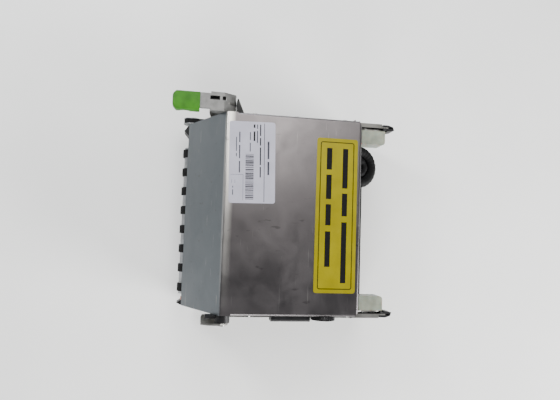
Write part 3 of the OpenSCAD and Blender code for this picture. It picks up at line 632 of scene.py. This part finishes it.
def sheet_outline(half_x, half_y, radius, steps=6):
    """Rounded rectangle as (x, y) points."""
    points = []
    for sx, sy, start in ((1, 1, 0), (-1, 1, 90), (-1, -1, 180), (1, -1, 270)):
        for step in range(steps + 1):
            turn = math.radians(start + 90 * step / steps)
            x = sx * (half_x - radius) + radius * math.cos(turn)
            y = sy * (half_y - radius) + radius * math.sin(turn)
            points.append((x, y))
    return points


def skin(bm, near, far, material_index=0):
    """Closes the gap between two rings of as many points."""
    for i in range(len(near)):
        j = (i + 1) % len(near)
        face = bm.faces.new((near[i], near[j], far[j], far[i]))
        face.material_index = material_index


def film(bm, outline, low_z, high_z):
    """Thin sheet with that outline, between two heights."""
    lower = [bm.verts.new((x, y, low_z)) for x, y in outline]
    upper = [bm.verts.new((x, y, high_z)) for x, y in outline]
    bm.faces.new(upper)
    bm.faces.new(lower[::-1])
    skin(bm, lower, upper)


def printed_rule(bm, half_x, half_y, radius, width, low_z, high_z, material_index):
    """Thin printed line round a rounded rectangle."""
    outer = sheet_outline(half_x, half_y, radius)
    inner = sheet_outline(half_x - width, half_y - width, max(radius - width, width))
    rings = []
    for line, z in ((outer, high_z), (inner, high_z), (inner, low_z), (outer, low_z)):
        rings.append([bm.verts.new((x, y, z)) for x, y in line])
    for ring in range(4):
        skin(bm, rings[ring], rings[(ring + 1) % 4], material_index)


def tube(bm, path, radius_at, sides):
    """Closed tube along a path, with its radius given by a function of 0 to 1."""
    rings = []
    side = None
    for i, point in enumerate(path):
        ahead = (path[min(i + 1, len(path) - 1)] - path[max(i - 1, 0)]).normalized()
        side = side - side.dot(ahead) * ahead if side else ahead.cross(Vector((0, 0, 1)))
        side.normalize()
        other = ahead.cross(side)
        radius = radius_at(i / (len(path) - 1))
        turns = [math.tau * k / sides for k in range(sides)]
        around = [math.cos(turn) * side + math.sin(turn) * other for turn in turns]
        rings.append([bm.verts.new(point + radius * out) for out in around])
    for near, far in zip(rings, rings[1:]):
        skin(bm, near, far)
    bm.faces.new(rings[0][::-1])
    bm.faces.new(rings[-1])


def finish_piece(piece, body, slot, *stands_for):
    """Hands a new piece to the frame."""
    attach(piece, body)
    if stands_for:
        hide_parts(*stands_for)


def coat(material, *nodes):
    """Gives CAD pieces a material."""
    for name in nodes:
        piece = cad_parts[name]
        for spot in piece.material_slots:
            spot.material = material


# ---- Operators, one for each piece or group of like pieces ----


class NOTEMODULE_OT_frame_finishes(bpy.types.Operator):
    """Gives every carried-over CAD piece its real finish"""

    bl_idname = "notemodule.frame_finishes"
    bl_label = "Frame Finishes"

    def execute(self, context):
        make_materials(context.scene.note_colours)
        finishes = {
            "cover": "top_cover",
            "plate": "base_pan lower_side_plate_left lower_side_plate_right"
            " upper_side_plate_left upper_side_plate_right latch_hooks",
            "steel": "lower_cross_bars upper_tie_bars strike_pins hinge_pins chassis_screws"
            " upper_screws latch_shaft motor_pulley",
            "rubber": "drive_belts jog_belt",
            "nylon": "entry_guide_left entry_guide_right lower_guide_plate upper_guide_plate"
            " belt_shoe rear_guide_horns jog_wheel",
            "housing": "lower_sensor_module upper_sensor_module",
            "window": "lower_sensor_glass upper_sensor_glass",
            "enamel": "drive_motor",
            "bronze": "shaft_bushes latch_bushes",
            "nickel": "magnetic_head",
        }
        for finish, nodes in finishes.items():
            coat(MATERIALS[finish], *nodes.split())
        for i in range(1, 6):
            coat(MATERIALS["aluminium"], f"drive_shaft_{i}")
            coat(MATERIALS["rubber"], f"drive_tyres_{i}")
            coat(MATERIALS["urethane"], f"idler_roller_{i}")
        return {"FINISHED"}


class NOTEMODULE_OT_labels(bpy.types.Operator):
    """Makes the two cover labels as plain film with a printed rule and plain bars"""

    bl_idname = "notemodule.labels"
    bl_label = "Cover Labels"

    def execute(self, context):
        sizes = context.scene.note_sizes
        for node, film_name, draw in (
            ("type_label", "film", self.draw_type),
            ("warning_label", "vinyl", self.draw_yellow),
        ):
            low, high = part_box(node)
            middle = (low + high) / 2
            bm = bmesh.new()
            draw(bm, high - low, sizes)
            if node == "type_label":
                turn = Matrix.Rotation(LABEL_TURN, 3, "Z")
                bmesh.ops.rotate(bm, verts=bm.verts, cent=(0, 0, 0), matrix=turn)
            bmesh.ops.translate(bm, verts=bm.verts, vec=middle)
            inks = (MATERIALS["ink"], MATERIALS["pale_ink"], MATERIALS["olive_ink"])
            piece = new_piece(node + "_film", bm, (MATERIALS[film_name], *inks))
            finish_piece(piece, "upper_half", node, node)
        return {"FINISHED"}

    def bar(self, bm, x0, x1, y0, y1, top, ink):
        """Printed bar, its place given in millimetres from the label's middle."""
        low = Vector((x0 * MM, y0 * MM, top - PRINT_DEPTH))
        slab(bm, low, (x1 * MM, y1 * MM, top), ink)

    def draw_type(self, bm, size, sizes):
        """Pale film with a long rule, rows of plain bars, a block of ticks and an outlined box."""
        # The box of the turned label is larger than the label, so its own sides are solved for.
        cos, sin = math.cos(LABEL_TURN), math.sin(LABEL_TURN)
        across = (size.x * cos - size.y * sin) / math.cos(2 * LABEL_TURN)
        deep = (size.y * cos - size.x * sin) / math.cos(2 * LABEL_TURN)
        top = size.z / 2
        face_z = top - sizes.ink_height
        film(bm, sheet_outline(across / 2, deep / 2, 2.5 * MM), -face_z, face_z)
        # Each row: height above the middle, thickness, ink, then where its bars start and end.
        rows = (
            (13.2, 0.6, 1, ((-44.5, 44.5),)),
            (17.2, 2.0, 2, ((-24, -4), (-1, 14))),
            (8.4, 1.3, 1, ((-43, -30), (-28, -19), (-17, 3), (5, 17))),
            (5.0, 1.1, 2, ((-43, -38), (-36, -22))),
            (1.2, 1.9, 1, ((-43, -39), (-35, -24))),
            (-3.0, 1.0, 2, ((-34, -25), (-22, -12))),
            (-15.0, 1.3, 2, ((-34, -22), (-19, -4), (-1, 12))),
            (-18.4, 0.9, 2, ((-28, -12), (-10, -6))),
            (-22.0, 0.9, 2, ((27, 29), (31, 37))),
        )
        for y, thick, ink, spans in rows:
            for x0, x1 in spans:
                self.bar(bm, x0, x1, y, y + thick, top, ink)
        spread = random.Random(3)
        x, ticks_end, ticks_low, ticks_high = -9.0, 42, -7.6, 1.6
        while x < ticks_end:
            width = spread.choice((0.4, 0.7, 1.1))
            self.bar(bm, x, x + width, ticks_low, ticks_high, top, 1)
            x += width + spread.choice((0.5, 0.8, 1.2))
        box_lines = (
            (14, 14.3, -24, -10),
            (14, 43, -10.3, -10),
            (20, 24, -23, -22.7),
            (20, 24, -19.3, -19),
        )
        for x0, x1, y0, y1 in box_lines:
            self.bar(bm, x0, x1, y0, y1, top, 2)
        bmesh.ops.recalc_face_normals(bm, faces=bm.faces)

    def draw_yellow(self, bm, size, sizes):
        """Yellow vinyl, a dark olive rule and two rows of plain dark bars."""
        top = size.z / 2
        face_z = top - sizes.ink_height
        film(bm, sheet_outline(size.x / 2, size.y / 2, 3 * MM), -face_z, face_z)
        inset, rule_corner, bar_height = 4.2 * MM, 2.5 * MM, 6.2
        half_x, half_y = size.x / 2 - inset, size.y / 2 - inset
        printed_rule(bm, half_x, half_y, rule_corner, sizes.rule_width, top - PRINT_DEPTH, top, 3)
        rows = (
            (6.6, ((-77, -31), (-25, 1), (8, 77))),
            (-12.4, ((-77, -52), (-46, -18), (-12, 12), (19, 59))),
        )
        for y, blocks in rows:
            for x0, x1 in blocks:
                self.bar(bm, x0, x1, y, y + bar_height, top, 1)
        bmesh.ops.recalc_face_normals(bm, faces=bm.faces)


class NOTEMODULE_OT_lever_grip(bpy.types.Operator):
    """Makes the moulded green grip with rounded edges and a finger scoop below"""

    bl_idname = "notemodule.lever_grip"
    bl_label = "Lever Grip"

    edge = 1.6 * MM
    seam = 0.4 * MM
    chamfer = 4 * MM
    scoop = 7 * MM

    def execute(self, context):
        low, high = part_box("lever_grip")
        length = high.y - low.y
        # Close steps round the nose, even ones along the grip, and close ones at the seam.
        steps = [0, 0.1, 0.3, 0.6, 1.0, 1.6] + [1.6 + 0.6 * i for i in range(1, 45)]
        steps = [step * MM for step in steps if step * MM < length - 0.5 * MM]
        steps += [length - self.seam, length - self.seam / 4, length]
        bm = bmesh.new()
        rings = [self.section(bm, low, high, step) for step in steps]
        for near, far in zip(rings, rings[1:]):
            skin(bm, near, far)
        bm.faces.new(rings[0][::-1])
        bm.faces.new(rings[-1])
        bmesh.ops.recalc_face_normals(bm, faces=bm.faces)
        grip = new_piece("lever_grip_moulding", bm, (MATERIALS["grip"],), 35)
        finish_piece(grip, "latch", "green_grip", "lever_grip")
        return {"FINISHED"}

    def section(self, bm, low, high, along_y):
        """Ring of points across the grip: chamfered nose, rounded edges, and the scoop."""
        length = high.y - low.y
        past = max(self.edge - along_y, 0)
        nose = self.edge - math.sqrt(self.edge**2 - past**2)
        shrink = nose + max(self.seam - (length - along_y), 0)
        half = (high.x - low.x) / 2 - max(self.chamfer - along_y, 0) - shrink
        from_scoop = along_y - 0.45 * length
        lift = math.sqrt(max(self.scoop**2 - from_scoop**2, 0)) - self.scoop / 2
        top, bottom = high.z - shrink, low.z + max(lift, 0) + shrink
        middle = Vector(((low.x + high.x) / 2, low.y + along_y, (top + bottom) / 2))
        outline = sheet_outline(half, (top - bottom) / 2, self.edge)
        return [bm.verts.new(middle + Vector((x, 0, z))) for x, z in outline]


class NOTEMODULE_OT_lever_web(bpy.types.Operator):
    """Makes the sloping web over the lever's pivot, and a black sheet under the arm's windows as
    painted shade seen through them
    """

    bl_idname = "notemodule.lever_web"
    bl_label = "Lever Arm Web"

    cheek = 1.9 * MM
    thick = 1.3 * MM
    outer = 6.2 * MM

    def execute(self, context):
        low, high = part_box("lever_arm")
        pivot = sum(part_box("latch_shaft"), Vector()) / 2
        crest = Vector((pivot.y - 5.8 * MM, high.z - 1.5 * MM))
        over = [crest] + self.bend(pivot, self.outer)
        under = [crest - Vector((0, 1.2 * self.thick))] + self.bend(pivot, self.outer - self.thick)
        x_sides = (low.x + self.cheek, high.x - self.cheek)
        bm = bmesh.new()
        sides = [[bm.verts.new((x, y, z)) for y, z in over + under[::-1]] for x in x_sides]
        skin(bm, *sides)
        last = len(sides[0]) - 1
        for k in range(len(over) - 1):
            for side in sides:
                bm.faces.new((side[k], side[k + 1], side[last - 1 - k], side[last - k]))
        # Painted shade: a black sheet under the arm's windows stands in for the shade seen through
        # them.
        shade_sheet_top, shade_sheet_thick = high.z - 5.8 * MM, 1.2 * MM
        shade_sheet_low = (low.x + self.cheek, pivot.y - 27 * MM, shade_sheet_top - shade_sheet_thick)
        slab(bm, shade_sheet_low, (low.x + 10 * MM, pivot.y - 6 * MM, shade_sheet_top), 1)
        bmesh.ops.recalc_face_normals(bm, faces=bm.faces)
        web = new_piece("lever_arm_web", bm, (MATERIALS["arm"], MATERIALS["nylon"]), 35)
        finish_piece(web, "latch", "lever_paint")
        return {"FINISHED"}

    def bend(self, pivot, radius):
        """(y, z) points round the pivot, from near the top down towards the back."""
        turns = [math.radians(angle) for angle in range(75, 9, -5)]
        return [
            Vector((pivot.y + radius * math.cos(t), pivot.z + radius * math.sin(t))) for t in turns
        ]


class NOTEMODULE_OT_wiring_loom(bpy.types.Operator):
    """Makes the wiring loom in its sleeve, from the control board round behind the cover"""

    bl_idname = "notemodule.wiring_loom"
    bl_label = "Wiring Loom"

    radius = 6.5 * MM
    inner_radius = 4.2 * MM
    ring = 19 * MM
    drop = 9 * MM
    tilt = math.radians(20)

    def execute(self, context):
        low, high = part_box("harness")
        ribs = context.scene.note_sizes.loom_ribs
        cos, sin = math.cos(self.tilt), math.sin(self.tilt)
        ring_y = high.y - self.radius - self.ring * cos
        middle = Vector((high.x - self.radius - self.ring, ring_y, high.z - 11.8 * MM))
        back = Vector((0, cos, -sin))
        # The main bundle: out of the plug, round the half ring, down its elbow to the tie bar.
        path = self.half_ring(middle, back, self.ring, 15.9 * MM)
        elbow = middle + Vector((self.ring, 0, 0)) - self.drop * Vector((0, sin, cos))
        for step in range(1, 17):
            turn = (math.pi / 2 + self.tilt) * step / 16 - self.tilt
            path.append(elbow + self.drop * Vector((0, -math.sin(turn), math.cos(turn))))
        foot = low.z + 0.02 * MM
        last = path[-1]
        for step in range(1, 17):
            path.append(Vector((last.x, last.y, last.z + (foot - last.z) * step / 16)))
        bm = bmesh.new()
        # 7% of the radius rises and falls with each rib.
        tube(bm, path, lambda t: self.radius * (0.965 + 0.035 * math.cos(math.tau * ribs * t)), 32)
        # A thinner second bundle lies inside the first.
        inner_ring = self.ring - self.radius - self.inner_radius
        inner = self.half_ring(middle, back, inner_ring, 12 * MM)
        inner += [inner[-1] - back * 1.2 * MM * step for step in range(1, 11)]
        rib = 0.2 * MM
        tube(bm, inner, lambda t: self.inner_radius + rib * math.cos(math.tau * ribs * t), 24)
        plug_low = (low.x, low.y, high.z - 10 * MM)
        slab(bm, plug_low, (low.x + 14 * MM, low.y + 6.8 * MM, high.z), 1)
        materials = (MATERIALS["sleeve"], MATERIALS["nylon"])
        loom = new_piece("wiring_loom_sleeve", bm, materials, 60)
        finish_piece(loom, "upper_half", "loom", "harness")
        return {"FINISHED"}

    def half_ring(self, middle, back, ring, straight):
        """Points along a straight and then half a ring, from the left round to the right."""
        start = middle + Vector((-ring, 0, 0))
        path = [start - back * straight * (1 - step / 10) for step in range(10)]
        for step in range(49):
            turn = math.radians(180 - 180 * step / 48)
            out = Vector((ring * math.cos(turn), 0, 0))
            path.append(middle + out + back * ring * math.sin(turn))
        return path


class NOTEMODULE_OT_latch_spring(bpy.types.Operator):
    """Makes the latch's torsion spring as one continuous wire"""

    bl_idname = "notemodule.latch_spring"
    bl_label = "Latch Spring"

    def execute(self, context):
        low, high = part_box("latch_spring")
        axis = sum(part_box("latch_shaft"), Vector()) / 2
        wire = 0.6 * MM
        coil = axis.y - low.y - wire
        turns = context.scene.note_sizes.spring_turns
        x0, x1 = low.x + wire, high.x - wire
        steps = int(turns * 32)
        path = []
        for i in range(steps + 1):
            angle = math.radians(-90) + math.tau * turns * i / steps
            y, z = axis.y + coil * math.cos(angle), axis.z + coil * math.sin(angle)
            path.append(Vector((x0 + (x1 - x0) * i / steps, y, z)))
        leg = Vector((x0, high.y - wire, low.z + wire))
        bm = bmesh.new()
        # A point just before the coil keeps the leg straight.
        tube(bm, [leg, path[0] + (leg - path[0]) * 0.02] + path, lambda t: wire, 10)
        spring = new_piece("latch_spring_wire", bm, (MATERIALS["steel"],), 60)
        finish_piece(spring, "upper_half", "bright_steel", "latch_spring")
        return {"FINISHED"}


class NOTEMODULE_OT_circuit_boards(bpy.types.Operator):
    """Makes the two circuit boards with their chips, capacitors and plugs"""

    bl_idname = "notemodule.circuit_boards"
    bl_label = "Circuit Boards"

    board, chip_body, metal, can, pale = range(5)

    def execute(self, context):
        self.make_board("control_board", "upper_half", 4 * MM, 7)
        self.make_board("drive_board", "lower_frame", 0, 11)
        return {"FINISHED"}

    def make_board(self, node, body, stand, seed):
        """Board on posts of height stand, with parts laid out in a grid."""
        low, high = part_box(node)
        bm = bmesh.new()
        base = low.z + stand
        top = base + 1.6 * MM
        slab(bm, (low.x, low.y, base), (high.x, high.y, top), self.board)
        if stand:
            inset, post_radius = 5 * MM, 3 * MM
            for x in (low.x + inset, high.x - inset):
                for y in (low.y + inset, high.y - inset):
                    post(bm, (x, y, low.z), post_radius, stand, self.metal, 6)
        spread = random.Random(seed)
        room = high.z - top
        margin, pitch_x, pitch_y, plug_strip = 14 * MM, 13 * MM, 12 * MM, 34 * MM
        columns = int((high.x - low.x - 24 * MM) / pitch_x)
        rows = int((high.y - low.y - plug_strip) / pitch_y)
        for column in range(columns):
            for row in range(rows):
                corner = Vector((low.x + margin, low.y + margin, top))
                spot = corner + Vector((column * pitch_x, row * pitch_y, 0))
                self.add_part(bm, spot, spread, room)
        for plug in range(3):
            self.add_plug(bm, Vector((low.x + 10 * MM + plug * 34 * MM, high.y, top)), room)
        names = ("board", "nylon", "steel", "enamel", "acetal")
        piece = new_piece(node + "_assembly", bm, [MATERIALS[name] for name in names])
        finish_piece(piece, body, "circuit_board", node)

    def add_part(self, bm, spot, spread, room):
        """A chip with its legs, a round capacitor, three small parts in a row, or nothing."""
        pick = spread.random()
        if pick < 0.3:
            half = spread.choice((3.5, 4.5, 5.2)) * MM
            deep, thick, reach = half * 0.8, 1.6 * MM, 0.9 * MM
            slab(
                bm,
                spot - Vector((half, deep, 0)),
                spot + Vector((half, deep, thick)),
                self.chip_body,
            )
            for leg in range(6):
                middle = spot + Vector(((leg + 0.5) * half / 3 - half, 0, 0))
                across = Vector((0.25 * MM, deep + reach, 0))
                slab(bm, middle - across, middle + across + Vector((0, 0, 0.3 * MM)), self.metal)
        elif pick < 0.45:
            post(bm, spot, 3.2 * MM, min(8 * MM, room), self.can, 24)
        elif pick < 0.85:
            for n in range(3):
                start = spot + Vector(((2.6 * n - 3) * MM, -0.7 * MM, 0))
                size = Vector((1.6 * MM, 1.4 * MM, 0.7 * MM))
                slab(bm, start, start + size, spread.choice((self.metal, self.can, self.pale)))

    def add_plug(self, bm, corner, room):
        """A pale plug of nine pins along the board's back edge."""
        tall = min(9 * MM, room)
        low = corner - Vector((0, 9 * MM, 0))
        slab(bm, low, corner + Vector((26 * MM, -1 * MM, tall)), self.pale)
        for pin in range(9):
            start = corner + Vector(((2 + pin * 2.6) * MM, -5.4 * MM, tall - 1 * MM))
            slab(bm, start, start + Vector((1 * MM, 1 * MM, 1 * MM)), self.metal)


class NOTEMODULE_OT_soft_edges(bpy.types.Operator):
    """Makes the moulded and machined pieces again with their sharp edges broken"""

    bl_idname = "notemodule.soft_edges"
    bl_label = "Soft Edges"

    def execute(self, context):
        width = context.scene.note_sizes.edge_round
        for node, body, slot, material in (
            ("hinge_blocks", "upper_half", "white_plastic", "acetal"),
            ("side_strip_cover", "upper_half", "black_plastic", "nylon"),
            ("lever_stop_bracket", "upper_half", "black_plastic", "nylon"),
            ("lever_arm", "latch", "lever_paint", "arm"),
            ("latch_hub", "latch", "black_plastic", "nylon"),
        ):
            bm = bmesh.new()
            bm.from_mesh(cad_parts[node].data)
            for face in bm.faces:
                face.material_index = 0
            piece = new_piece(node + "_softened", bm, (MATERIALS[material],), 40)
            add_bevel(piece, width)
            finish_piece(piece, body, slot, node)
        return {"FINISHED"}


class NOTEMODULE_OT_stage(bpy.types.Operator):
    """Makes the pale floor, the soft lights, the sky and the camera"""

    bl_idname = "notemodule.stage"
    bl_label = "Stage"

    def execute(self, context):
        self.make_floor()
        self.make_lights()
        self.make_camera(context.scene.note_view)
        return {"FINISHED"}

    def make_floor(self):
        """Flat floor at the lowest point of the module."""
        bm = bmesh.new()
        bmesh.ops.create_grid(bm, x_segments=2, y_segments=2, size=3.0)
        floor = new_piece("floor", bm, (MATERIALS["floor"],))
        floor.location = (0, 0, CAD_BOX[0][2])

    def soft_light(self, name, place, target, size, power, colour):
        """Rectangular light at place, turned to face target."""
        lamp = bpy.data.lights.new(name, "AREA")
        lamp.shape = "RECTANGLE"
        lamp.size, lamp.size_y = size
        lamp.energy = power
        lamp.color = colour
        holder = bpy.data.objects.new(name, lamp)
        bpy.context.scene.collection.objects.link(holder)
        holder.location = place
        holder.rotation_euler = (Vector(target) - Vector(place)).to_track_quat("-Z", "Y").to_euler()

    def make_lights(self):
        """Six soft lights and a dim sky."""
        middle = (0, 0, 0.1)
        white = (1, 1, 1)
        # Where it stands, what it faces, its two sizes, its power in watts and its colour.
        lights = {
            "front_left_softbox": (
                (-0.34, -0.46, 0.62), (-0.08, -0.09, 0.14), (0.16, 0.16), 3.4, white
            ),
            "overhead_softbox": ((-0.62, 0.12, 1.2), middle, (0.6, 0.9), 10.5, (1, 0.98, 0.95)),
            "left_fill": ((-1.5, -0.3, 0.5), middle, (0.8, 0.8), 22, (0.88, 0.94, 1)),
            "front_fill": ((0.25, -1.6, 0.35), middle, (0.9, 0.6), 5, white),
            "rear_fill": ((0.7, 1.4, 0.6), middle, (0.8, 0.8), 56, white),
            "right_fill": ((1.4, -0.2, 0.6), middle, (0.8, 0.8), 26, white),
        }
        for name, facts in lights.items():
            self.soft_light(name, *facts)
        world = bpy.data.worlds.new("studio")
        world.use_nodes = True
        sky = world.node_tree.nodes["Background"].inputs
        sky["Color"].default_value = (0.9, 0.93, 1.0, 1)
        sky["Strength"].default_value = 0.16
        bpy.context.scene.world = world

    def make_camera(self, view):
        """Camera looking almost straight down on the cover, rolled about its line of sight."""
        camera = bpy.data.objects.new("camera", bpy.data.cameras.new("camera"))
        bpy.context.scene.collection.objects.link(camera)
        flat = math.cos(view.elevation)
        heading = Vector((-math.sin(view.azimuth), math.cos(view.azimuth), 0))
        ahead = heading * flat - Vector((0, 0, math.sin(view.elevation)))
        across = ahead.cross(Vector((0, 0, 1))).normalized()
        upright = across.cross(ahead)
        right = math.cos(view.roll) * across + math.sin(view.roll) * upright
        up = right.cross(ahead)
        turn = Matrix((right, up, -ahead)).transposed().to_4x4()
        camera.matrix_world = Matrix.Translation(Vector(view.target) - view.distance * ahead) @ turn
        camera.data.lens = view.lens
        camera.data.clip_start = 0.01
        bpy.context.scene.camera = camera


class NOTEMODULE_PT_panel(bpy.types.Panel):
    """Lists the pieces in the sidebar"""

    bl_label = "Note Module"
    bl_space_type = "VIEW_3D"
    bl_region_type = "UI"
    bl_category = "Note Module"

    def draw(self, context):
        scene = context.scene
        for group in (scene.note_sizes, scene.note_colours, scene.note_view):
            for name in group.__annotations__:
                self.layout.prop(group, name)
        for operator in PIECES:
            self.layout.operator(operator.bl_idname)


PIECES = (
    NOTEMODULE_OT_frame_finishes,
    NOTEMODULE_OT_labels,
    NOTEMODULE_OT_lever_grip,
    NOTEMODULE_OT_lever_web,
    NOTEMODULE_OT_wiring_loom,
    NOTEMODULE_OT_latch_spring,
    NOTEMODULE_OT_circuit_boards,
    NOTEMODULE_OT_soft_edges,
    NOTEMODULE_OT_stage,
)
CLASSES = (ModuleSizes, ModuleColours, ModuleView, *PIECES, NOTEMODULE_PT_panel)


def register():
    for cls in CLASSES:
        bpy.utils.register_class(cls)
    bpy.types.Scene.note_sizes = PointerProperty(type=ModuleSizes)
    bpy.types.Scene.note_colours = PointerProperty(type=ModuleColours)
    bpy.types.Scene.note_view = PointerProperty(type=ModuleView)


def unregister():
    del bpy.types.Scene.note_view
    del bpy.types.Scene.note_colours
    del bpy.types.Scene.note_sizes
    for cls in reversed(CLASSES):
        bpy.utils.unregister_class(cls)


def main():
    register()
    for operator in PIECES:
        group, name = operator.bl_idname.split(".")
        getattr(getattr(bpy.ops, group), name)()


if __name__ == "__main__":
    main()
